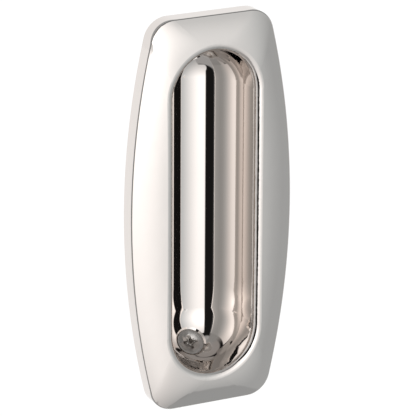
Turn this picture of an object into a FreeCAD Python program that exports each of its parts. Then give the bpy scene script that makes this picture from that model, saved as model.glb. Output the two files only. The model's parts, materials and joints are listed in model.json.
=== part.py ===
import FreeCAD, Part
import math
import os
import Sketcher
from FreeCAD import Placement, Rotation, Vector

# A flush pull for a pocket door. A crowned, barrel-shaped plate and a deep finger cup are one
# polished casting. Two countersunk wood screws go through the rounded ends of the cup.
#
# Frame: X across the door, Y into the door, Z up. The door's surface is the plane Y = 0, and the
# origin is the middle of the plate's back.

# Driving sizes, in millimetres and degrees
SIZES = (
    ("face_height", 139.7, "height of the plate"),
    ("face_width", 60.7, "width of the plate at mid height"),
    ("end_width", 42.4, "width of the plate where its sides would meet its ends"),
    ("corner_radius", 8.6, "round of the plate's corners"),
    ("rim_depth", 5.9, "how far the rim stands off the door"),
    ("rim_edge_round", 0.5, "round of the edge between rim and face"),
    ("crown_rim_slope", 23, "slope of the crowned face at the rim"),
    ("crown_cup_slope", 1.3, "slope of the crowned face at the cup"),
    ("cup_width", 30.9, "width of the cup at the face, before the lip is rounded"),
    ("end_border", 12.05, "face between the cup's end and the plate's, before the lip is rounded"),
    ("cup_floor", 14.8, "floor of the cup, behind the door's surface"),
    ("cup_draft", 2.6, "draft of the cup's walls"),
    ("cup_wall", 2.0, "thickness of the cup's shell"),
    ("flare_depth", 3.2, "below the face, where the cup's walls start to flare"),
    ("flare_radius", 9.5, "radius of that flare"),
    ("lip_radius", 2.5, "round of the lip between face and cup"),
    ("relief_depth", 3.2, "depth of the hollow in the plate's back"),
    ("relief_land", 3.2, "width of the rim left round that hollow"),
    ("seat_tilt", 46, "tilt of each screw away from the cup's middle"),
    ("seat_sink", 0.2, "how far each head lies below the cup's surface"),
    ("boss_diameter", 14.0, "boss round each screw seat, behind the cup"),
    ("boss_land", 1.0, "length of plain hole below each countersink"),
    ("head_diameter", 9.5, "screw head"),
    ("head_edge", 0.3, "upright edge of the screw head"),
    ("head_angle", 90, "included angle of the head's cone"),
    ("thread_diameter", 5.0, "outside of the screw's thread"),
    ("neck_diameter", 3.8, "plain neck between head and thread"),
    ("neck_end", 3.8, "end of that neck, from the top of the head"),
    ("thread_clearance", 0.4, "how much wider the hole is than the thread"),
    ("screw_length", 12.7, "screw, from the top of the head to the tip"),
    ("point_length", 3.2, "tapered tip of the screw"),
    ("recess_span", 5.9, "cross recess, from wing tip to wing tip"),
    ("recess_width", 1.15, "width of a recess wing"),
    ("recess_depth", 3.0, "depth of the cross recess"),
    ("recess_core", 2.7, "diameter of the recess's middle at the top of the head"),
    ("recess_turn", -2, "turn of each recess about the screw's axis"),
)

# The crown runs from the rim (0) to the cup's edge (1); its last section lies just inside the cup
CROWN_STEPS = (0, 0.3, 0.6, 0.85, 1.1)
# Along the crown the bow of the long sides dies away at this step
BOW_END = 1.2
# The crown's corners reach this share of the cup's end radius at the cup's edge
INNER_CORNER_SHARE = 0.85
# How far a cutting or joining profile runs past the face that it meets
OVERRUN = 1.0
# Points closer than this are at the same place
SAME_PLACE = 0.01
# The foot of a screw's recess: span and width of its wings, and its core, against the top
RECESS_FOOT_SPAN = 1 / 3
RECESS_FOOT_WIDTH = 0.7
RECESS_CORE_TAPER = 0.6
RECESS_CORE_DEPTH = 0.8

doc = FreeCAD.newDocument("pocket_door_pull")
sheet = doc.addObject("Spreadsheet::Sheet", "sizes")
for row, (alias, value, meaning) in enumerate(SIZES, start=1):
    sheet.set(f"A{row}", meaning)
    sheet.set(f"B{row}", str(value))
    sheet.setAlias(f"B{row}", alias)
doc.recompute()

# Distances that several features share, as expressions on the sheet
SIDE_BOW = "(sizes.face_width - sizes.end_width) / 2"
CROWN_RADIUS = ("(sizes.face_width - sizes.cup_width) / 2"
                " / (sin(sizes.crown_rim_slope) - sin(sizes.crown_cup_slope))")
CREST = (f"(sizes.rim_depth + {CROWN_RADIUS}"
         " * (cos(sizes.crown_cup_slope) - cos(sizes.crown_rim_slope)))")
BOWL_RADIUS = (f"((sizes.cup_width / 2 * cos(sizes.cup_draft)"
               f" - (sizes.cup_floor + {CREST}) * sin(sizes.cup_draft))"
               " / (1 - sin(sizes.cup_draft)))")
BOWL_DEPTH = f"(sizes.cup_floor - {BOWL_RADIUS})"
MOUTH = f"(-{CREST} - {OVERRUN})"
FLARE_START = f"(sizes.flare_depth - {CREST})"
CUP_LENGTH = "(sizes.face_height - 2 * sizes.end_border)"
END_CENTRE = f"(({CUP_LENGTH} - sizes.cup_width) / 2)"
SEAT_DISTANCE = f"(sqrt({BOWL_RADIUS} ^ 2 - (sizes.head_diameter / 2) ^ 2) + sizes.seat_sink)"
HOLE_RADIUS = "((sizes.thread_diameter + sizes.thread_clearance) / 2)"
SEAT_CONE = f"((sizes.head_diameter / 2 - {HOLE_RADIUS}) / tan(sizes.head_angle / 2))"


def value_of(expression):
    """The present value of an expression on the sheet."""
    return float(sheet.evalExpression(str(expression)))


def new_body(label):
    body = doc.addObject("PartDesign::Body", label)
    body.Label = label
    return body


def origin_plane(body, role):
    return next(feature for feature in body.Origin.OriginFeatures if feature.Role == role)


def new_sketch(body, name, role, along=0, across=0, out=0, turn=0):
    """A sketch on one of the body's own planes, moved and turned in that plane by expressions."""
    sketch = body.newObject("Sketcher::SketchObject", name)
    sketch.AttachmentSupport = [(origin_plane(body, role), "")]
    sketch.MapMode = "FlatFace"
    sketch.AttachmentOffset = Placement(Vector(), Rotation(Vector(0, 0, 1), value_of(turn)))
    sketch.setExpression("AttachmentOffset.Base.x", str(along))
    sketch.setExpression("AttachmentOffset.Base.y", str(across))
    sketch.setExpression("AttachmentOffset.Base.z", str(out))
    if turn != 0:
        sketch.setExpression("AttachmentOffset.Rotation.Angle", str(turn))
    return sketch


def drive(sketch, name, expression, kind, *where):
    """Adds a named dimension to a sketch and binds it to the sheet."""
    index = sketch.addConstraint(Sketcher.Constraint(kind, *where, value_of(expression)))
    sketch.renameConstraint(index, name)
    sketch.setExpression(f"Constraints.{name}", str(expression))


def hold(sketch, *constraints):
    for constraint in constraints:
        sketch.addConstraint(Sketcher.Constraint(*constraint))


def arc(centre, radius, start, end):
    return Part.ArcOfCircle(Part.Circle(Vector(*centre, 0), Vector(0, 0, 1), radius), start, end)


def line(start, end):
    return Part.LineSegment(Vector(*start, 0), Vector(*end, 0))


def barrel_sketch(body, name, setback, half_width, half_height, bow, corner):
    """Outline parallel to the door: bowed long sides, straight ends, round corners."""
    sketch = new_sketch(body, name, "XZ_Plane", out=setback)
    side_radius = f"((({half_height}) ^ 2 + ({bow}) ^ 2) / (2 * ({bow})))"
    side_offset = f"({side_radius} - ({half_width}))"
    side, offset = value_of(side_radius), value_of(side_offset)
    top, round_ = value_of(half_height), value_of(corner)
    reach = math.sqrt((side - round_) ** 2 - (top - round_) ** 2)
    corner_x, corner_y = reach - offset, top - round_
    lean = math.atan2(corner_y, reach)
    quarter, half = math.pi / 2, math.pi
    sketch.addGeometry([
        arc((-offset, 0), side, -lean, lean),
        arc((corner_x, corner_y), round_, lean, quarter),
        line((corner_x, top), (-corner_x, top)),
        arc((-corner_x, corner_y), round_, quarter, half - lean),
        arc((offset, 0), side, half - lean, half + lean),
        arc((-corner_x, -corner_y), round_, half + lean, half + quarter),
        line((-corner_x, -top), (corner_x, -top)),
        arc((corner_x, -corner_y), round_, -quarter, -lean),
    ])
    right, top_right, top_line, top_left, left, bottom_left, bottom_line, bottom_right = range(8)
    for edge in range(8):
        hold(sketch, ("Tangent", edge, 2, (edge + 1) % 8, 1))
    hold(sketch, ("Equal", right, left), ("Equal", top_line, bottom_line),
         ("Horizontal", top_line), ("Horizontal", bottom_line),
         ("PointOnObject", right, 3, -1), ("Symmetric", right, 3, left, 3, -2))
    for other in (top_left, bottom_left, bottom_right):
        hold(sketch, ("Equal", top_right, other))
    drive(sketch, "side_radius", side_radius, "Radius", right)
    drive(sketch, "side_offset", side_offset, "DistanceX", right, 3, -1, 1)
    drive(sketch, "corner", corner, "Radius", top_right)
    drive(sketch, "half_height", half_height, "DistanceY", -1, 1, top_right, 2)
    return sketch


def wall_ends(wall_top, half_top, radius):
    """Upper and lower end of one cup wall as (half width, depth), and its lean, at present sizes."""
    top, half, bowl, deep = (value_of(size) for size in (wall_top, half_top, radius, BOWL_DEPTH))
    away = math.hypot(half, deep - top)
    lean = math.asin(bowl / away) - math.atan2(half, deep - top)
    return (half, top), (bowl * math.cos(lean), deep + bowl * math.sin(lean)), lean


def flare_arc(wall_top, half_top, lean):
    """Middle, radius, turn at the mouth and half width there, of the flare above one cup wall."""
    radius = value_of("sizes.flare_radius")
    centre_x = value_of(half_top) + radius * math.cos(lean)
    centre_y = value_of(wall_top) + radius * math.sin(lean)
    turn = math.asin((centre_y - value_of(MOUTH)) / radius)
    return (centre_x, centre_y), radius, turn, centre_x - radius * math.cos(turn)


def trough_sketch(body, name, wall_top, half_top, radius, flared=False):
    """Section across the cup: drafted walls tangent to a round floor, which may flare at the top."""
    sketch = new_sketch(body, name, "XY_Plane")
    (top_x, top_y), (touch_x, touch_y), lean = wall_ends(wall_top, half_top, radius)
    sketch.addGeometry([
        line((top_x, top_y), (touch_x, touch_y)),
        arc((0, value_of(BOWL_DEPTH)), value_of(radius), lean, math.pi - lean),
        line((-touch_x, touch_y), (-top_x, top_y)),
    ])
    right, floor, left = range(3)
    hold(sketch, ("Tangent", right, 2, floor, 1), ("Tangent", floor, 2, left, 1),
         ("Symmetric", right, 1, left, 2, -2), ("PointOnObject", floor, 3, -2))
    if flared:
        (x, y), flare, turn, mouth_x = flare_arc(wall_top, half_top, lean)
        mouth_y = value_of(MOUTH)
        sketch.addGeometry([
            arc((x, y), flare, math.pi + lean, math.pi + turn),
            arc((-x, y), flare, -turn, -lean),
            line((-mouth_x, mouth_y), (mouth_x, mouth_y)),
        ])
        right_flare, left_flare, opening = range(3, 6)
        hold(sketch, ("Tangent", right_flare, 1, right, 1), ("Tangent", left, 2, left_flare, 2),
             ("Coincident", opening, 2, right_flare, 2), ("Coincident", left_flare, 1, opening, 1),
             ("Equal", right_flare, left_flare), ("Horizontal", opening))
        drive(sketch, "flare_radius", "sizes.flare_radius", "Radius", right_flare)
        drive(sketch, "mouth", MOUTH, "DistanceY", -1, 1, opening, 2)
    else:
        sketch.addGeometry(line((-top_x, top_y), (top_x, top_y)))
        hold(sketch, ("Coincident", 3, 2, right, 1), ("Coincident", 3, 1, left, 2))
    drive(sketch, "wall_top", wall_top, "DistanceY", -1, 1, right, 1)
    drive(sketch, "half_top", half_top, "DistanceX", -1, 1, right, 1)
    drive(sketch, "bowl_radius", radius, "Radius", floor)
    drive(sketch, "bowl_depth", BOWL_DEPTH, "DistanceY", -1, 1, floor, 3)
    return sketch


def bowl_sketch(body, name, wall_top, half_top, radius, flared=False):
    """Half of the trough's section, to turn about the middle of the cup's lower end."""
    sketch = new_sketch(body, name, "YZ_Plane", across=f"-{END_CENTRE}")
    (top_x, top_y), (touch_x, touch_y), lean = wall_ends(wall_top, half_top, radius)
    deep, bowl = value_of(BOWL_DEPTH), value_of(radius)
    mouth_x, mouth_y = top_x, top_y
    if flared:
        (x, y), flare, turn, mouth_x = flare_arc(wall_top, half_top, lean)
        mouth_y = value_of(MOUTH)
    sketch.addGeometry([
        line((top_y, top_x), (touch_y, touch_x)),
        arc((deep, 0), bowl, 0, math.pi / 2 - lean),
        line((deep + bowl, 0), (mouth_y, 0)),
        line((mouth_y, 0), (mouth_y, mouth_x)),
    ])
    wall, floor, axis, opening = range(4)
    hold(sketch, ("Tangent", wall, 2, floor, 2), ("Coincident", floor, 1, axis, 1),
         ("Coincident", axis, 2, opening, 1), ("PointOnObject", floor, 3, -1),
         ("PointOnObject", axis, 1, -1), ("PointOnObject", axis, 2, -1), ("Vertical", opening))
    if flared:
        quarter = 3 * math.pi / 2
        sketch.addGeometry(arc((y, x), flare, quarter - turn, quarter - lean))
        hold(sketch, ("Tangent", 4, 2, wall, 1), ("Coincident", opening, 2, 4, 1))
        drive(sketch, "flare_radius", "sizes.flare_radius", "Radius", 4)
        drive(sketch, "mouth", MOUTH, "DistanceX", -1, 1, opening, 1)
    else:
        hold(sketch, ("Coincident", opening, 2, wall, 1))
    drive(sketch, "wall_top", wall_top, "DistanceX", -1, 1, wall, 1)
    drive(sketch, "half_top", half_top, "DistanceY", -1, 1, wall, 1)
    drive(sketch, "bowl_radius", radius, "Radius", floor)
    drive(sketch, "bowl_depth", BOWL_DEPTH, "DistanceX", -1, 1, floor, 3)
    return sketch


def lathe_sketch(sketch, stations):
    """A closed half profile on the sketch's own long axis: (name, place along, radius) each."""
    points = [(value_of(place), value_of(radius)) for _, place, radius in stations]
    blunt = stations[-1][2] != 0
    ring = [(points[0][0], 0)] + points + ([(points[-1][0], 0)] if blunt else [])
    count = len(ring)
    sketch.addGeometry([line(ring[i], ring[(i + 1) % count]) for i in range(count)])
    for i in range(count):
        hold(sketch, ("Coincident", i, 2, (i + 1) % count, 1))
    hold(sketch, ("Vertical", 0), ("PointOnObject", 0, 1, -1),
         ("PointOnObject", count - 1, 1, -1))
    if blunt:
        hold(sketch, ("Vertical", count - 2))
    for i, (name, place, radius) in enumerate(stations, start=1):
        if i == 1 and value_of(place) == 0:
            hold(sketch, ("PointOnObject", i, 1, -2))
        else:
            drive(sketch, f"{name}_place", place, "DistanceX", -1, 1, i, 1)
        if radius != 0:
            drive(sketch, f"{name}_radius", radius, "DistanceY", -1, 1, i, 1)
    return sketch


def turned(body, kind, name, sketch, axis="H_Axis"):
    """A full turn of a profile, added with kind Revolution or cut with kind Groove."""
    feature = body.newObject(f"PartDesign::{kind}", name)
    feature.Profile = sketch
    feature.ReferenceAxis = (sketch, [axis])
    feature.Angle = 360
    return feature


def mirrored(body, name, originals):
    """Repeats features of the lower half in the upper half."""
    feature = body.newObject("PartDesign::Mirrored", name)
    feature.Originals = originals
    feature.MirrorPlane = (origin_plane(body, "XY_Plane"), [""])
    body.Tip = feature
    doc.recompute()
    return feature


def crowned_plate(body):
    """The flat-backed slab of the rim and the crowned face on it."""
    rim = barrel_sketch(body, "rim_outline", "0", "sizes.face_width / 2",
                        "sizes.face_height / 2", SIDE_BOW, "sizes.corner_radius")
    slab = body.newObject("PartDesign::Pad", "rim_slab")
    slab.Profile = rim
    slab.setExpression("Length", "sizes.rim_depth")
    doc.recompute()
    sections = []
    for step in CROWN_STEPS:
        slope = (f"asin(sin(sizes.crown_rim_slope) - {step}"
                 " * (sin(sizes.crown_rim_slope) - sin(sizes.crown_cup_slope)))")
        rise = f"{CROWN_RADIUS} * (cos({slope}) - cos(sizes.crown_rim_slope))"
        sections.append(barrel_sketch(
            body, f"crown_outline_{round(step * 100)}",
            f"sizes.rim_depth + {rise}",
            f"sizes.face_width / 2 - {step} * (sizes.face_width - sizes.cup_width) / 2",
            f"sizes.face_height / 2 - {step} * sizes.end_border",
            f"{SIDE_BOW} * (1 - {step} / {BOW_END})",
            f"sizes.corner_radius + {step}"
            f" * ({INNER_CORNER_SHARE} * sizes.cup_width / 2 - sizes.corner_radius)"))
    doc.recompute()
    crown = body.newObject("PartDesign::AdditiveLoft", "crown")
    crown.Profile = sections[0]
    crown.Sections = sections[1:]
    crown.Ruled = False
    doc.recompute()


def back_relief(body):
    """The hollow behind the plate, inside a flat land that rests on the door."""
    outline = barrel_sketch(body, "relief_outline", "0",
                            "sizes.face_width / 2 - sizes.relief_land",
                            "sizes.face_height / 2 - sizes.relief_land", SIDE_BOW,
                            "sizes.corner_radius - sizes.relief_land")
    relief = body.newObject("PartDesign::Pocket", "relief")
    relief.Profile = outline
    relief.setExpression("Length", "sizes.relief_depth")
    relief.Reversed = True
    doc.recompute()


def wall_line(depth):
    """Half width of the cup's inner wall at a distance behind the door's surface."""
    return f"(sizes.cup_width / 2 - ({depth} + {CREST}) * tan(sizes.cup_draft))"


def cup_shell(body):
    """The cup's shell behind the plate: a trough with a bowl at each end, and the bosses."""
    start = f"(-sizes.relief_depth - {OVERRUN})"
    half = f"({wall_line(start)} + sizes.cup_wall / cos(sizes.cup_draft))"
    radius = f"({BOWL_RADIUS} + sizes.cup_wall)"
    trough = body.newObject("PartDesign::Pad", "shell_trough")
    trough.Profile = trough_sketch(body, "shell_section", start, half, radius)
    trough.SideType = "Symmetric"
    trough.setExpression("Length", f"2 * {END_CENTRE}")
    bowl = turned(body, "Revolution", "shell_bowl",
                  bowl_sketch(body, "shell_bowl_section", start, half, radius))
    boss_start = f"({BOWL_RADIUS} + sizes.cup_wall / 2)"
    boss_end = f"({SEAT_DISTANCE} + sizes.head_edge + {SEAT_CONE} + sizes.boss_land)"
    boss = turned(body, "Revolution", "screw_boss", lathe_sketch(
        seat_sketch(body, "boss_section"),
        (("start", boss_start, "sizes.boss_diameter / 2"),
         ("end", boss_end, "sizes.boss_diameter / 2"))))
    doc.recompute()
    mirrored(body, "upper_shell", [bowl, boss])


def seat_sketch(body, name):
    """A sketch whose long axis is the lower screw's, starting at the middle of the bowl."""
    return new_sketch(body, name, "YZ_Plane", along=BOWL_DEPTH, across=f"-{END_CENTRE}",
                      turn="-sizes.seat_tilt")


def finger_cup(body):
    """The hollow of the cup, cut through the face, with its bowl ends."""
    half = wall_line(FLARE_START)
    trough = body.newObject("PartDesign::Pocket", "cup_trough")
    trough.Profile = trough_sketch(body, "cup_section", FLARE_START, half, BOWL_RADIUS, flared=True)
    trough.SideType = "Symmetric"
    trough.setExpression("Length", f"2 * {END_CENTRE}")
    bowl = turned(body, "Groove", "cup_bowl",
                  bowl_sketch(body, "cup_bowl_section", FLARE_START, half, BOWL_RADIUS, flared=True))
    doc.recompute()
    mirrored(body, "upper_bowl", [bowl])


def screw_seats(body):
    """A countersink and a clearance hole square to each bowl's surface."""
    mouth = f"({SEAT_DISTANCE} + sizes.head_edge - {OVERRUN})"
    mouth_radius = f"(sizes.head_diameter / 2 + {OVERRUN} * tan(sizes.head_angle / 2))"
    cone_end = f"({SEAT_DISTANCE} + sizes.head_edge + {SEAT_CONE})"
    far = f"({cone_end} + sizes.boss_land + {OVERRUN})"
    seat = turned(body, "Groove", "screw_seat", lathe_sketch(
        seat_sketch(body, "seat_section"),
        (("mouth", mouth, mouth_radius), ("cone_end", cone_end, HOLE_RADIUS),
         ("far", far, HOLE_RADIUS))))
    doc.recompute()
    mirrored(body, "upper_seat", [seat])


def edges_near(shape, test):
    """Names of the edges whose middle passes a test."""
    names = []
    for index, edge in enumerate(shape.Edges, start=1):
        middle = edge.valueAt((edge.FirstParameter + edge.LastParameter) / 2)
        if test(middle):
            names.append(f"Edge{index}")
    return names


def rounded(body, name, test, radius):
    base = body.Tip
    fillet = body.newObject("PartDesign::Fillet", name)
    fillet.Base = (base, edges_near(base.Shape, test))
    fillet.setExpression("Radius", radius)
    doc.recompute()


def round_edges(body):
    """The full round of the lip, and the small one where the face meets the rim."""
    rim, crest = value_of("sizes.rim_depth"), value_of(CREST)
    half_cup, half_length = value_of("sizes.cup_width / 2"), value_of(f"{CUP_LENGTH} / 2")
    margin = value_of("sizes.lip_radius")
    rounded(body, "lip_round",
            lambda p: (p.y < -(rim + crest) / 2 and abs(p.x) < half_cup + margin
                       and abs(p.z) < half_length + margin),
            "sizes.lip_radius")
    rounded(body, "rim_round", lambda p: abs(p.y + rim) < SAME_PLACE, "sizes.rim_edge_round")


def make_pull():
    body = new_body("pull_body")
    crowned_plate(body)
    back_relief(body)
    cup_shell(body)
    finger_cup(body)
    screw_seats(body)
    round_edges(body)
    return body


def slot_sketch(body, name, setback, length, width, turn):
    """A rectangle about the screw's axis, `setback` below the top of the head."""
    sketch = new_sketch(body, name, "XY_Plane", out=f"-({setback})", turn=turn)
    along, across = value_of(length) / 2, value_of(width) / 2
    corners = ((-along, -across), (along, -across), (along, across), (-along, across))
    sketch.addGeometry([line(corners[i], corners[(i + 1) % 4]) for i in range(4)])
    for i in range(4):
        hold(sketch, ("Coincident", i, 2, (i + 1) % 4, 1),
             ("Horizontal" if i % 2 == 0 else "Vertical", i))
    hold(sketch, ("Symmetric", 0, 1, 2, 1, -1, 1))
    drive(sketch, "length", length, "DistanceX", 0, 1, 0, 2)
    drive(sketch, "width", width, "DistanceY", 1, 1, 1, 2)
    return sketch


def make_screw(label, side):
    """A countersunk wood screw with a cross recess, its axis along -Z and its head at the top."""
    body = new_body(label)
    neck, thread = "sizes.neck_diameter / 2", "sizes.thread_diameter / 2"
    cone_end = (f"sizes.head_edge + (sizes.head_diameter / 2 - {neck})"
                " / tan(sizes.head_angle / 2)")
    thread_start = f"sizes.neck_end + ({thread} - {neck})"
    # the sketch's long axis is the screw's, from the head's top towards the point
    profile = new_sketch(body, f"{label}_section", "XZ_Plane", turn="-90")
    turned(body, "Revolution", f"{label}_blank", lathe_sketch(profile, (
        ("top", "0", "sizes.head_diameter / 2"),
        ("edge", "sizes.head_edge", "sizes.head_diameter / 2"),
        ("cone", cone_end, neck),
        ("neck", "sizes.neck_end", neck),
        ("thread", thread_start, thread),
        ("taper", "sizes.screw_length - sizes.point_length", thread),
        ("tip", "sizes.screw_length", 0))))
    doc.recompute()
    for wing, quarter_turn in enumerate((0, 90)):
        turn = f"sizes.recess_turn + {quarter_turn}"
        top = slot_sketch(body, f"{label}_wing_{wing}_top", "0",
                          "sizes.recess_span", "sizes.recess_width", turn)
        bottom = slot_sketch(body, f"{label}_wing_{wing}_bottom", "sizes.recess_depth",
                             f"sizes.recess_span * {RECESS_FOOT_SPAN}",
                             f"sizes.recess_width * {RECESS_FOOT_WIDTH}", turn)
        cut = body.newObject("PartDesign::SubtractiveLoft", f"{label}_wing_{wing}")
        cut.Profile = top
        cut.Sections = [bottom]
        doc.recompute()
    core = new_sketch(body, f"{label}_core_section", "XZ_Plane", turn="-90")
    turned(body, "Groove", f"{label}_core", lathe_sketch(core, (
        ("mouth", "0", "sizes.recess_core / 2"),
        ("middle", f"sizes.recess_depth * {RECESS_CORE_DEPTH}",
         f"sizes.recess_core / 2 * {RECESS_CORE_TAPER}"),
        ("bottom", "sizes.recess_depth", 0))))
    lean = f"90 - {side} * sizes.seat_tilt"
    body.Placement = Placement(Vector(), Rotation(Vector(1, 0, 0), value_of(lean)))
    body.setExpression("Placement.Rotation.Angle", lean)
    body.setExpression("Placement.Base.y", f"{BOWL_DEPTH} + {SEAT_DISTANCE} * cos(sizes.seat_tilt)")
    body.setExpression("Placement.Base.z",
                       f"-{side} * ({END_CENTRE} + {SEAT_DISTANCE} * sin(sizes.seat_tilt))")
    doc.recompute()
    return body


def check(parts):
    """Stops before anything is written if an object failed or a shape isn't a sound solid."""
    for item in doc.Objects:
        if "Invalid" in item.State or "Error" in item.State:
            raise RuntimeError(f"{item.Label} failed: {item.State}")
        if item.TypeId == "Sketcher::SketchObject" and not item.FullyConstrained:
            raise RuntimeError(f"{item.Label} is not fully constrained")
    for part in parts:
        if part.Shape.isNull() or not part.Shape.isValid() or len(part.Shape.Solids) != 1:
            raise RuntimeError(f"{part.Label} is not one sound solid")


parts = [make_pull(), make_screw("lower_screw", 1), make_screw("upper_screw", -1)]
doc.recompute()
check(parts)
os.makedirs("parts", exist_ok=True)
for part in parts:
    part.Shape.exportStep(f"parts/{part.Label}.step")
    box = part.Shape.BoundBox
    print(f"{part.Label}: {part.Shape.Volume / 1000:.2f} cm3, x {box.XMin:.2f} to {box.XMax:.2f},"
          f" y {box.YMin:.2f} to {box.YMax:.2f}, z {box.ZMin:.2f} to {box.ZMax:.2f}")
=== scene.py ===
# %% [markdown]
# A pocket door pull in polished nickel.
# The solids come from the CAD model as a fixed frame. This script gives them their finish, cuts real
# threads on the two wood screws, and builds the small studio that a mirror-bright part needs.

import json
import math

import bmesh
import bpy
from mathutils import Matrix, Vector


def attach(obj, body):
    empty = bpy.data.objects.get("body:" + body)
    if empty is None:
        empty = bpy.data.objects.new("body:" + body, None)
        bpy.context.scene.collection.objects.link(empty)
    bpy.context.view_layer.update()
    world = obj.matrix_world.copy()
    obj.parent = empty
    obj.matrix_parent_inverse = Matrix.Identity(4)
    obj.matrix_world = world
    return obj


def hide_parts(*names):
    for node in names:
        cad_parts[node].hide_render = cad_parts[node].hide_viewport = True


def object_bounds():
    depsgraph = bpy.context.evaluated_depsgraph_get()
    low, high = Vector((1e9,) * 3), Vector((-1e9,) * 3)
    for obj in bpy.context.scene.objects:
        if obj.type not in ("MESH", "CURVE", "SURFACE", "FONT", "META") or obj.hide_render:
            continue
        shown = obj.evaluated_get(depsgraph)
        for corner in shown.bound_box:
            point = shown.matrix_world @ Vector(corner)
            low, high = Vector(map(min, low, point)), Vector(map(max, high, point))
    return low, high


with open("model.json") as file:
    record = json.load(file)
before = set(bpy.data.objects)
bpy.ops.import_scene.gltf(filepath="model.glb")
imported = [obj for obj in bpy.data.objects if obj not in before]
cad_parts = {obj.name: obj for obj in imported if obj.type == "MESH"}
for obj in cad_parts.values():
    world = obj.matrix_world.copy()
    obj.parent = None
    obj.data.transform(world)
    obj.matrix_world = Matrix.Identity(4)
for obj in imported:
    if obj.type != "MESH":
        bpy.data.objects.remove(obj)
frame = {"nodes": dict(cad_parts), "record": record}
cad_box = [list(corner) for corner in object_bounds()]
print("CAD box in metres:", [[round(value, 4) for value in corner] for corner in cad_box])

MM = 0.001

# %% [markdown]
# The camera.
# The photograph was taken a little from the left and from above, with a long lens, so the plate's
# sides stay nearly parallel. The angles, the distance and the lens were fitted to the plate's outline.
# The camera's own axes are worked out from those angles and written into its matrix as columns.

# %% Camera
FRAME_PIXELS = 416
SENSOR_MM = 36
FOCAL_PIXELS = 3470
CAMERA_AZIMUTH = math.radians(26.65)
CAMERA_ELEVATION = math.radians(18.88)
CAMERA_ROLL = math.radians(0.31)
CAMERA_PLACE = Vector((-0.50376, -1.00694, 0.38476))


def add_camera():
    back = Vector((-math.sin(CAMERA_AZIMUTH) * math.cos(CAMERA_ELEVATION),
                   -math.cos(CAMERA_AZIMUTH) * math.cos(CAMERA_ELEVATION),
                   math.sin(CAMERA_ELEVATION)))
    level = Vector((math.cos(CAMERA_AZIMUTH), -math.sin(CAMERA_AZIMUTH), 0))
    upright = back.cross(level)
    right = level * math.cos(CAMERA_ROLL) + upright * math.sin(CAMERA_ROLL)
    up = upright * math.cos(CAMERA_ROLL) - level * math.sin(CAMERA_ROLL)
    data = bpy.data.cameras.new("photo_camera")
    data.sensor_width = SENSOR_MM
    data.lens = SENSOR_MM * FOCAL_PIXELS / FRAME_PIXELS
    camera = bpy.data.objects.new("photo_camera", data)
    bpy.context.scene.collection.objects.link(camera)
    axes = Matrix((right, up, back)).transposed()
    camera.matrix_world = Matrix.Translation(CAMERA_PLACE) @ axes.to_4x4()
    bpy.context.scene.camera = camera
    return camera


camera = add_camera()
bpy.context.scene.view_settings.view_transform = "Standard"
print("lens in millimetres:", round(camera.data.lens, 1))

# %% [markdown]
# A small language for shader nodes.
# Node trees are easier to read as formulas. `Signal` wraps one output of a node, and Python's own
# operators on it add Math nodes. `Shader` wraps a tree, and its one method `node` adds any other
# node: first the settings, then the inputs.

# %% Shader expressions


class Signal:
    """An output of a node, which can be calculated with."""

    def __init__(self, shader, output):
        self.shader = shader
        self.output = output

    def math(self, operation, *values):
        return self.shader.node("ShaderNodeMath", {"operation": operation}, dict(enumerate(values)))

    def __add__(self, other):
        return self.math("ADD", self, other)

    def __sub__(self, other):
        return self.math("SUBTRACT", self, other)

    def __mul__(self, other):
        return self.math("MULTIPLY", self, other)

    def __truediv__(self, other):
        return self.math("DIVIDE", self, other)

    def __rsub__(self, other):
        return self.math("SUBTRACT", other, self)

    def __neg__(self):
        return self.math("MULTIPLY", self, -1)

    def __abs__(self):
        return self.math("ABSOLUTE", self)

    __radd__ = __add__
    __rmul__ = __mul__

    def at_least(self, other):
        return self.math("MAXIMUM", self, other)

    def at_most(self, other):
        return self.math("MINIMUM", self, other)

    def step(self, start, end):
        """Runs smoothly from 0 at start to 1 at end."""
        settings = {"interpolation_type": "SMOOTHSTEP"}
        return self.shader.node("ShaderNodeMapRange", settings,
                                {"Value": self, "From Min": start, "From Max": end})


class Shader:
    """A node tree of a material or of the world."""

    def __init__(self, owner):
        owner.use_nodes = True
        self.tree = owner.node_tree
        self.tree.nodes.clear()

    def node(self, kind, settings=None, inputs=None, output=0):
        node = self.tree.nodes.new(kind)
        for name, value in (settings or {}).items():
            setattr(node, name, value)
        for name, value in (inputs or {}).items():
            if isinstance(value, Signal):
                self.tree.links.new(value.output, node.inputs[name])
            else:
                node.inputs[name].default_value = value
        return Signal(self, node.outputs[output]) if len(node.outputs) else None

    def coordinates(self):
        return self.node("ShaderNodeTexCoord", output="Object")

    def place(self):
        """The point's x, y and z in the object's own space, in metres."""
        split = self.node("ShaderNodeSeparateXYZ", None, {0: self.coordinates()})
        return tuple(Signal(self, output) for output in split.output.node.outputs)

    def noise(self, scale, detail=2.0, stretch=(1, 1, 1)):
        """Soft noise from 0 to 1. Scale is in waves per metre."""
        spread = self.node("ShaderNodeMapping", None, {"Vector": self.coordinates(), "Scale": stretch})
        return self.node("ShaderNodeTexNoise", None,
                         {"Vector": spread, "Scale": scale, "Detail": detail})

    def mix(self, factor, first, second):
        """One colour passing into another. Each is red, green and blue, or comes from nodes."""
        first, second = (colour if isinstance(colour, Signal) else (*colour, 1)
                         for colour in (first, second))
        return self.node("ShaderNodeMix", {"data_type": "RGBA"}, {0: factor, 6: first, 7: second},
                         output=2)


def length(x, y):
    """The distance from nought of a point given by two signals."""
    squares = x * x + y * y
    return squares.math("SQRT", squares)


print("shader helpers are ready")

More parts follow.
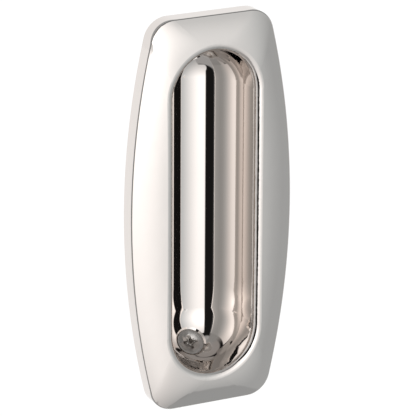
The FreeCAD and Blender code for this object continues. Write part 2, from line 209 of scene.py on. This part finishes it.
# %% [markdown]
# Where each finish lies.
# The pull is one casting, so one material has to tell its finishes apart by place. The face, the rim
# and the inside of the cup are mirror polished. The hollow back and the outside of the cup were never
# touched and keep the mould's sandy grain. The narrow land that rests on the door was ground flat.
# A rounded outline has a simple measure: the distance from a smaller outline inside it. The same
# measure tells the rim's outer wall from the wall of the hollow, and the cup's inside from its outside.
# The plate's long sides are arcs, and their radius follows from how far they bow out.

# %% Places of the finishes, in millimetres
HALF_WIDTH = cad_box[1][0] / MM
HALF_HEIGHT = cad_box[1][2] / MM
END_HALF_WIDTH = 21.2
BOW = HALF_WIDTH - END_HALF_WIDTH
SIDE_RADIUS = (HALF_HEIGHT ** 2 + BOW ** 2) / (2 * BOW)
CORNER = 8.6
RIM_DEPTH = 5.9
HOLLOW_WALL = 5.4
HOLLOW_TOP = -3.2
BOWL_CENTRE, BOWL_DEPTH = 42.35, -0.23
SHELL_MIDDLE = 16.2

print("radius of the long sides:", round(SIDE_RADIUS, 1))
print("width of the ground land:", round(CORNER - HOLLOW_WALL, 1))

# %% [markdown]
# Each finish passes into the next over a short stretch, because a mop and a belt leave no sharp
# border. Along the edge between the rim's wall and the face, the rounded edge of a mirror reflects a
# dark hair line. That dark reflection is painted: the third mask gives the edge a darker colour.

# %% Masks of the finishes
BEHIND_FACE = (HOLLOW_TOP - 0.15, HOLLOW_TOP - 0.05)
INSIDE_WALL = (HOLLOW_WALL + 0.8, HOLLOW_WALL + 1.6)
OUTSIDE_CUP = (SHELL_MIDDLE - 0.3, SHELL_MIDDLE + 0.3)
LAND_PLANE = (-0.04, -0.02)
LAND_BORDER = (HOLLOW_WALL - 0.2, HOLLOW_WALL - 0.05)
# The last two mark the hair line along the rim's edge, where a dark reflection is painted into the
# colour.
REFLECTION_LINE_BORDER = (CORNER + RIM_DEPTH - 0.38, CORNER + RIM_DEPTH - 0.30)
REFLECTION_LINE_DEPTH = (-RIM_DEPTH - 0.12, -RIM_DEPTH - 0.04)


def finish_masks(shader):
    """1 on the cast surfaces, 1 on the ground land, and 1 on the edge between rim and face, where a
    dark reflection line is painted.
    """
    x, y, z = (axis / MM for axis in shader.place())
    side = (length(abs(x) + (SIDE_RADIUS - HALF_WIDTH), z) - (SIDE_RADIUS - CORNER)).at_least(0)
    end = (abs(z) - (HALF_HEIGHT - CORNER)).at_least(0)
    outline = length(side, end)
    past_bowl = length(length(x, (y - BOWL_DEPTH).at_least(0)), (abs(z) - BOWL_CENTRE).at_least(0))
    land = y.step(*LAND_PLANE) * outline.step(*LAND_BORDER)
    cast = y.step(*BEHIND_FACE) * (1 - outline.step(*INSIDE_WALL)) * past_bowl.step(*OUTSIDE_CUP)
    edge = (outline - y).step(*REFLECTION_LINE_BORDER) * y.step(*REFLECTION_LINE_DEPTH)
    return cast * (1 - land), land, edge


print("edge line from", [round(value, 2) for value in REFLECTION_LINE_DEPTH], "in y")

# %% [markdown]
# The polished nickel.
# Nickel is a slightly warm grey metal. Polished, it is nearly a mirror, so most of its look comes from
# what it reflects. A real mop polish isn't perfect: the colour varies by a percent or two and the
# gloss is a little softer in long streaks along the strokes. Where the casting was left alone, the
# plating lies over fine sand grain, which is duller and a little darker. The ground land shows the
# belt's straight lines. Bump gives the grain its light and shade, and its height is nought where the
# metal is polished, so the mirror stays true. Scales are in waves per metre, and a stretch below 1
# draws the waves out along that axis.

# %% Nickel material
NICKEL = (0.772, 0.726, 0.694)
NICKEL_SHADE = (0.752, 0.704, 0.671)
# A painted reflection: the dark colour of the hair line along the rim's edge.
PAINTED_EDGE_REFLECTION = (0.28, 0.27, 0.26)
CAST_NICKEL = (0.60, 0.565, 0.535)
CAST_HOLLOWS = (0.47, 0.44, 0.41)
TONE_SCALE = 60
STREAK_SCALE, STREAK_STRETCH = 900, (1, 1, 0.08)
GRAIN_SCALE, GRAIN_DETAIL = 1300, 4.0
LINE_SCALE, LINE_STRETCH = 5000, (0.02, 1, 1)
HOLLOW_SHARE = (0.35, 0.65)
POLISH_ROUGHNESS, POLISH_SPREAD = 0.022, 0.016
CAST_ROUGHNESS, CAST_SPREAD = 0.40, 0.12
LAND_ROUGHNESS, LAND_SPREAD = 0.16, 0.1
GRAIN_HEIGHT = 0.00012
LINE_SHARE = 0.12


def nickel_material():
    material = bpy.data.materials.new("polished_nickel_plate")
    shader = Shader(material)
    cast, land, edge = finish_masks(shader)
    tone = shader.noise(TONE_SCALE)
    streaks = shader.noise(STREAK_SCALE, stretch=STREAK_STRETCH)
    grain = shader.noise(GRAIN_SCALE, detail=GRAIN_DETAIL)
    lines = shader.noise(LINE_SCALE, stretch=LINE_STRETCH)
    # The hair line along the rim's edge is a painted dark reflection, mixed over the polished colour.
    polished = shader.mix(edge, shader.mix(tone, NICKEL, NICKEL_SHADE), PAINTED_EDGE_REFLECTION)
    sandy = shader.mix(grain.step(*HOLLOW_SHARE), CAST_HOLLOWS, CAST_NICKEL)
    bump = shader.node("ShaderNodeBump", None, {
        "Strength": 1.0, "Distance": GRAIN_HEIGHT,
        "Height": grain * cast + lines * land * LINE_SHARE})
    surface = shader.node("ShaderNodeBsdfPrincipled", None, {
        "Base Color": shader.mix(cast, polished, sandy),
        "Metallic": 1.0,
        "Roughness": (streaks * POLISH_SPREAD + POLISH_ROUGHNESS
                      + (streaks * CAST_SPREAD + CAST_ROUGHNESS) * cast
                      + (lines * LAND_SPREAD + LAND_ROUGHNESS) * land),
        "Normal": bump,
    })
    shader.node("ShaderNodeOutputMaterial", None, {"Surface": surface})
    return material


def finish_node(name, material):
    data = frame["nodes"][name].data
    data.materials.clear()
    data.materials.append(material)


finish_node("pull_body", nickel_material())
print("finished:", frame["nodes"]["pull_body"].data.materials[0].name)

# %% [markdown]
# The two wood screws.
# A screw starts as a forged blank, and its thread is rolled from the same metal. The CAD model has the
# head and its cross recess exactly, but only a plain cylinder and cone for the thread. So the head is
# copied and cut off in the neck. The thread is one tooth's outline, spun round the axis with a rise at
# each step, which is how a lathe cuts it. Then its radius is shaped: it fades in at the neck and runs
# out to the point. The head and the thread are joined by a ring of faces, so each screw is one skin.
# Places along a screw are measured from the top of its head.

# %% Screw sizes
HEAD_CUT = 3.45 * MM
THREAD_CUT = 3.55 * MM
THREAD_MIDDLE = 6.95 * MM
NECK_RADIUS = 1.9 * MM
ROOT_RADIUS = 1.72 * MM
CREST_RADIUS = 2.5 * MM
PITCH = 2.2 * MM
TOOTH = ((ROOT_RADIUS, 0), (ROOT_RADIUS, 0.38), (CREST_RADIUS, 0.66), (CREST_RADIUS, 0.73),
         (ROOT_RADIUS, 1))
TURNS = 6
STEPS_A_TURN = 40
LEAD_IN = 1.05 * PITCH
FADE_IN = (3.7 * MM, 5.2 * MM)
POINT_START = 9.5 * MM
POINT_END = 12.7 * MM
POINT_CUT = POINT_END - 0.02 * MM
SAME_PLACE = 1e-6
SHARP_EDGE = math.radians(32)


def smooth(value, start, end):
    share = min(max((value - start) / (end - start), 0), 1)
    return share * share * (3 - 2 * share)


def thread_radius(radius, place):
    """The radius that a point of the spun thread gets at its place along the screw."""
    grown = smooth(place, *FADE_IN)
    root = NECK_RADIUS + (ROOT_RADIUS - NECK_RADIUS) * grown
    taper = min(max((POINT_END - place) / (POINT_END - POINT_START), 0), 1)
    return (root + max(radius - ROOT_RADIUS, 0) * grown) * taper


print("thread turns on the screw:", round((POINT_END - FADE_IN[0]) / PITCH, 1))

# %% [markdown]
# The thread is spun longer than it has to be at both ends and then cut square. At the tip, the small
# hole that the cut leaves is pulled together into the point.

# %% Screw thread
def cut(build, place, keep):
    """Cuts everything square to Z, drops one side, and gives the edges of the cut."""
    result = bmesh.ops.bisect_plane(
        build, geom=build.verts[:] + build.edges[:] + build.faces[:], dist=SAME_PLACE / 10,
        plane_co=(0, 0, place), plane_no=(0, 0, 1),
        clear_outer=keep == "below", clear_inner=keep == "above")
    return [item for item in result["geom_cut"] if isinstance(item, bmesh.types.BMEdge)]


def spin_thread():
    build = bmesh.new()
    start = THREAD_CUT - LEAD_IN
    verts = [build.verts.new((radius, 0, start + share * PITCH)) for radius, share in TOOTH]
    edges = [build.edges.new(pair) for pair in zip(verts, verts[1:])]
    bmesh.ops.spin(build, geom=verts + edges, cent=(0, 0, 0), axis=(0, 0, 1),
                   dvec=(0, 0, PITCH / STEPS_A_TURN), angle=math.tau * TURNS,
                   steps=STEPS_A_TURN * TURNS, use_merge=False)
    bmesh.ops.remove_doubles(build, verts=build.verts[:], dist=SAME_PLACE)
    cut(build, THREAD_CUT, "above")
    tip = cut(build, POINT_CUT, "below")
    for vert in build.verts:
        radius = math.hypot(vert.co.x, vert.co.y)
        scale = thread_radius(radius, vert.co.z) / radius
        vert.co.x *= scale
        vert.co.y *= scale
    tip_verts = list(dict.fromkeys(vert for edge in tip for vert in edge.verts))
    bmesh.ops.pointmerge(build, verts=tip_verts, merge_co=(0, 0, POINT_END))
    return build


def copy_head(cad_mesh, axes):
    """A CAD screw's head, in the screw's own frame and cut off in the neck."""
    build = bmesh.new()
    build.from_mesh(cad_mesh)
    bmesh.ops.transform(build, matrix=axes.inverted(), verts=build.verts[:])
    bmesh.ops.remove_doubles(build, verts=build.verts[:], dist=SAME_PLACE)
    cut(build, HEAD_CUT, "below")
    return build


def join(build, other, mesh):
    """Adds another bmesh by way of a mesh, and bridges the two open ends."""
    other.to_mesh(mesh)
    other.free()
    build.from_mesh(mesh)
    bmesh.ops.bridge_loops(build, edges=[edge for edge in build.edges if edge.is_boundary])
    bmesh.ops.dissolve_degenerate(build, edges=build.edges[:], dist=SAME_PLACE / 10)


print("steps round the thread:", STEPS_A_TURN * TURNS)

# %% [markdown]
# The screws' own finish.
# They are plated steel, duller than the casting, with the faint marks of tumbling in a drum. The
# driver's recess and the thread were never polished.

# %% Screws
STEEL = (0.62, 0.59, 0.565)
STEEL_SHADE = (0.55, 0.525, 0.50)
STEEL_TONE_SCALE = 400
TUMBLE_SCALE = 2500
STEEL_ROUGHNESS, STEEL_SPREAD = 0.28, 0.12


def screw_material():
    material = bpy.data.materials.new("plated_steel")
    shader = Shader(material)
    surface = shader.node("ShaderNodeBsdfPrincipled", None, {
        "Base Color": shader.mix(shader.noise(STEEL_TONE_SCALE), STEEL, STEEL_SHADE),
        "Metallic": 1.0,
        "Roughness": shader.noise(TUMBLE_SCALE) * STEEL_SPREAD + STEEL_ROUGHNESS,
    })
    shader.node("ShaderNodeOutputMaterial", None, {"Surface": surface})
    return material


def screw_axes(side):
    """A screw's own frame: its origin on top of the head, and Z towards the point."""
    mount = next(m for m in frame["record"]["mounts"] if m["name"] == f"{side}_thread")
    along = Vector(mount["axis"]).normalized()
    across = Vector((1, 0, 0))
    axes = Matrix((across, along.cross(across), along)).transposed().to_4x4()
    return Matrix.Translation(Vector(mount["pos_m"]) - along * THREAD_MIDDLE) @ axes


def add_screw(side, material):
    axes = screw_axes(side)
    mesh = bpy.data.meshes.new(f"{side}_wood_screw")
    build = spin_thread()
    join(build, copy_head(frame["nodes"][f"{side}_screw"].data, axes), mesh)
    bmesh.ops.recalc_face_normals(build, faces=build.faces[:])
    bmesh.ops.transform(build, matrix=axes, verts=build.verts[:])
    open_edges = sum(not edge.is_manifold for edge in build.edges)
    build.to_mesh(mesh)
    build.free()
    mesh.polygons.foreach_set("use_smooth", [True] * len(mesh.polygons))
    mesh.set_sharp_from_angle(angle=SHARP_EDGE)
    mesh.materials.append(material)
    screw = bpy.data.objects.new(f"{side}_wood_screw", mesh)
    bpy.context.scene.collection.objects.link(screw)
    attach(screw, "root")
    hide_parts(f"{side}_screw")
    print(screw.name, "faces", len(mesh.polygons), "open edges", open_edges)


screw_finish = screw_material()
for side in ("lower", "upper"):
    add_screw(side, screw_finish)

# %% [markdown]
# The studio.
# A mirror shows the room, so the room is part of the finish. Photographers hang a dome of white
# cloth in front of such a part, light one panel of it from behind at one side, and put black cloth
# round that panel. The black gives polished metal its crisp dark bands. Behind the part is plain
# white. Directions are azimuth and elevation in degrees, seen from the part, with azimuth 0 straight
# out of the face and growing to the right.

# %% Sizes of the light and the cloth
DOME_RADIUS = 1.5
DOME_SEGMENTS, DOME_RINGS = 96, 64
PANEL_CORNER = (-8, -29.5)
PANEL_REACH = 20.6
PANEL_TOP = 45.3
PANEL_BOTTOM = -48.6
PANEL_SAG = (-4, 0.6)
PANEL_TURN = 33
PANEL_SLANT = 1.6
PANEL_FLARE = (-31, 0.6)
EDGE_BLUR = 3.0
LAMP = (-17.4, 4.3)
LAMP_REACH = 83.6
LAMP_LEVEL = 2.120
LAMP_FALL = 0.03550
LAMP_CURVE = 0.000188
CLOTH_REACH = (42.7, 21.4)
CLOTH_EDGE = (0.95, 1.15)
CLOTH_ABOVE = (5, 11)
CLOTH_END = (-26, 44)
CLOTH_LEVEL = 0.011
ROOM_LEVEL = 0.40
ROOM_SIDE = (56, 76)
ROOM_RISE = 0.42
NEUTRAL = (1, 1, 1)
COOL = (0.95, 1.0, 1.02)
COOL_FROM = (0, 50)

print("panel from", PANEL_BOTTOM, "to", PANEL_TOP, "degrees")

# %% [markdown]
# The panel has a rounded corner at the lower left. Its left edge flares out below a level, and its
# lower edge sags to the right of the corner and then turns up, as cloth hangs that is held at a few
# points. The lamp behind it is brightest at one spot and fades with the distance from that spot.

# %% Dome in front of the part
def panel_shape(azimuth, elevation, left, low):
    """1 on the lit panel and 0 round it."""
    flare = (PANEL_FLARE[0] - elevation).at_least(0) * PANEL_FLARE[1]
    sag = (azimuth - PANEL_SAG[0]).at_least(0) * PANEL_SAG[1]
    bottom = PANEL_BOTTOM - (PANEL_TURN - azimuth).at_least(0) * PANEL_SLANT
    outside = length((left - flare).at_least(0), (low - sag).at_least(0)) - PANEL_REACH
    outside = outside.at_least(elevation - PANEL_TOP).at_least(bottom - elevation)
    return 1 - outside.step(-EDGE_BLUR / 2, EDGE_BLUR / 2)


def past_cloth(azimuth, elevation, left, low):
    """1 where the black cloth has ended and the room shows."""
    around = length(left / CLOTH_REACH[0], low / CLOTH_REACH[1]).step(*CLOTH_EDGE)
    above = (elevation - PANEL_TOP).step(*CLOTH_ABOVE)
    return around.at_least(above).at_least(azimuth.step(*CLOTH_END))


def dome_material():
    material = bpy.data.materials.new("studio_cloth")
    shader = Shader(material)
    x, y, z = shader.place()
    azimuth = x.math("ARCTAN2", x, -y) * math.degrees(1)
    elevation = z.math("ARCSINE", z / DOME_RADIUS) * math.degrees(1)
    left = (PANEL_CORNER[0] - azimuth).at_least(0)
    low = (PANEL_CORNER[1] - elevation).at_least(0)
    panel = panel_shape(azimuth, elevation, left, low)
    distance = length(azimuth - LAMP[0], elevation - LAMP[1]).at_most(LAMP_REACH)
    glow = LAMP_LEVEL - distance * LAMP_FALL + distance * distance * LAMP_CURVE
    room = (-azimuth).step(*ROOM_SIDE) * ROOM_RISE + ROOM_LEVEL
    around = (past_cloth(azimuth, elevation, left, low) * room).at_least(CLOTH_LEVEL)
    level = panel * glow + (1 - panel) * around
    tint = shader.mix(azimuth.step(*COOL_FROM), NEUTRAL, COOL)
    colour = shader.node("ShaderNodeVectorMath", {"operation": "SCALE"}, {0: tint, "Scale": level})
    light = shader.node("ShaderNodeEmission", None, {"Color": colour, "Strength": 1.0})
    shader.node("ShaderNodeOutputMaterial", None, {"Surface": light})
    return material


def add_dome():
    mesh = bpy.data.meshes.new("studio_dome")
    build = bmesh.new()
    bmesh.ops.create_uvsphere(build, u_segments=DOME_SEGMENTS, v_segments=DOME_RINGS,
                              radius=DOME_RADIUS)
    whole = build.verts[:] + build.edges[:] + build.faces[:]
    bmesh.ops.bisect_plane(build, geom=whole, plane_co=(0, 0, 0), plane_no=(0, 1, 0), clear_outer=True)
    build.to_mesh(mesh)
    build.free()
    mesh.materials.append(dome_material())
    dome = bpy.data.objects.new("studio_dome", mesh)
    bpy.context.scene.collection.objects.link(dome)
    dome.visible_camera = False
    print("dome faces:", len(mesh.polygons))


add_dome()

# %% [markdown]
# The floor and the white background.
# The part is held at eye height in front of white, so the floor lies well below it. Paper can't be
# whiter than the light on it, so the floor shines a little for the camera and for rays that come off
# metal: it turns pure white and keeps its shadow. The world is the same white.

# %% Floor and world
FLOOR_BELOW = 1.6
FLOOR_SIZE = 40
FLOOR_LIFT = 0.13
PAPER = (0.9, 0.9, 0.9)
PAPER_LIGHT = (0.92, 0.92, 0.92)
PAPER_SCALE = 3
PAPER_ROUGHNESS = 0.9


def seen(shader):
    """1 for rays from the camera, off metal or through glass, and 0 for those that only give light."""
    path = shader.node("ShaderNodeLightPath")
    outputs = path.output.node.outputs
    camera_ray, glossy, through = (Signal(shader, outputs[name]) for name in (
        "Is Camera Ray", "Is Glossy Ray", "Is Transmission Ray"))
    return camera_ray.at_least(glossy).at_least(through)


def floor_material():
    material = bpy.data.materials.new("white_paper")
    shader = Shader(material)
    paper = shader.node("ShaderNodeBsdfPrincipled", None, {
        "Base Color": shader.mix(shader.noise(PAPER_SCALE), PAPER, PAPER_LIGHT),
        "Roughness": PAPER_ROUGHNESS,
        "Emission Color": seen(shader) * FLOOR_LIFT,
        "Emission Strength": 1.0,
    })
    shader.node("ShaderNodeOutputMaterial", None, {"Surface": paper})
    return material


def add_floor():
    height = cad_box[0][2] - FLOOR_BELOW
    mesh = bpy.data.meshes.new("floor")
    build = bmesh.new()
    bmesh.ops.create_grid(build, x_segments=1, y_segments=1, size=FLOOR_SIZE / 2,
                          matrix=Matrix.Translation((0, 0, height)))
    build.to_mesh(mesh)
    build.free()
    mesh.materials.append(floor_material())
    floor = bpy.data.objects.new("floor", mesh)
    bpy.context.scene.collection.objects.link(floor)
    print("floor at z in metres:", round(height, 3))


def light_world():
    world = bpy.data.worlds.new("white_surround")
    shader = Shader(world)
    sky = shader.node("ShaderNodeBackground", None, {"Color": (1, 1, 1, 1), "Strength": 1.0})
    shader.node("ShaderNodeOutputWorld", None, {"Surface": sky})
    bpy.context.scene.world = world


add_floor()
light_world()
